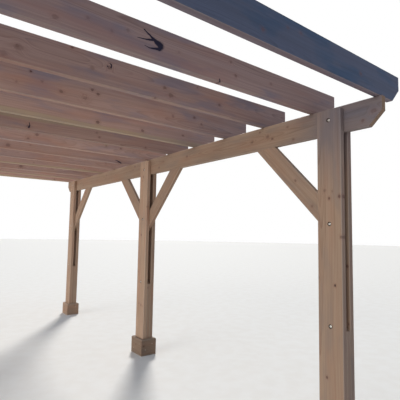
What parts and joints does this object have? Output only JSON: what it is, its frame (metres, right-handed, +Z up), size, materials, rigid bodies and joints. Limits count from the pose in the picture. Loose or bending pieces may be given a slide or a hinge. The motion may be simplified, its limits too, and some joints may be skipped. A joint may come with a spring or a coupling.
{
  "type": "timber pergola",
  "caption": "Free-standing open timber pergola: sandwich posts with knee braces carry two beams, and deep rafters on edge cross them.",
  "frame": {"origin": "on the ground, in the middle of the plan", "axes": "+X along the rafters towards the right row of posts, +Y along the beams towards the back, +Z up"},
  "size_m": [4, 6.23, 2.65],
  "materials": {
    "post_timber": "planed, pinkish tan softwood with dark knots",
    "beam_timber": "planed, pinkish tan softwood with dark knots",
    "brace_timber": "planed, pinkish tan softwood with dark knots",
    "skirt_timber": "planed, pinkish tan softwood with dark knots",
    "rafter_timber": "planed, pinkish tan softwood with dark knots"
  },
  "bodies": {
    "root": {"left_beam": "beam_timber", "left_front_post_inner_plank": "post_timber", "left_front_post_outer_plank": "post_timber", "left_front_post_core": "post_timber", "left_front_post_skirt": "skirt_timber", "left_middle_post_inner_plank": "post_timber", "left_middle_post_outer_plank": "post_timber", "left_middle_post_core": "post_timber", "left_middle_post_skirt": "skirt_timber", "left_back_post_inner_plank": "post_timber", "left_back_post_outer_plank": "post_timber", "left_back_post_core": "post_timber", "left_back_post_skirt": "skirt_timber", "left_front_post_brace": "brace_timber", "left_middle_post_braces": "brace_timber", "left_back_post_brace": "brace_timber", "right_beam": "beam_timber", "right_front_post_inner_plank": "post_timber", "right_front_post_outer_plank": "post_timber", "right_front_post_core": "post_timber", "right_front_post_skirt": "skirt_timber", "right_middle_post_inner_plank": "post_timber", "right_middle_post_outer_plank": "post_timber", "right_middle_post_core": "post_timber", "right_middle_post_skirt": "skirt_timber", "right_back_post_inner_plank": "post_timber", "right_back_post_outer_plank": "post_timber", "right_back_post_core": "post_timber", "right_back_post_skirt": "skirt_timber", "right_front_post_brace": "brace_timber", "right_middle_post_braces": "brace_timber", "right_back_post_brace": "brace_timber", "rafter_01": "rafter_timber", "rafter_02": "rafter_timber", "rafter_03": "rafter_timber", "rafter_04": "rafter_timber", "rafter_05": "rafter_timber", "rafter_06": "rafter_timber", "rafter_07": "rafter_timber", "rafter_08": "rafter_timber", "rafter_09": "rafter_timber", "rafter_10": "rafter_timber", "rafter_11": "rafter_timber", "rafter_12": "rafter_timber", "rafter_13": "rafter_timber"}
  },
  "joints": []
}
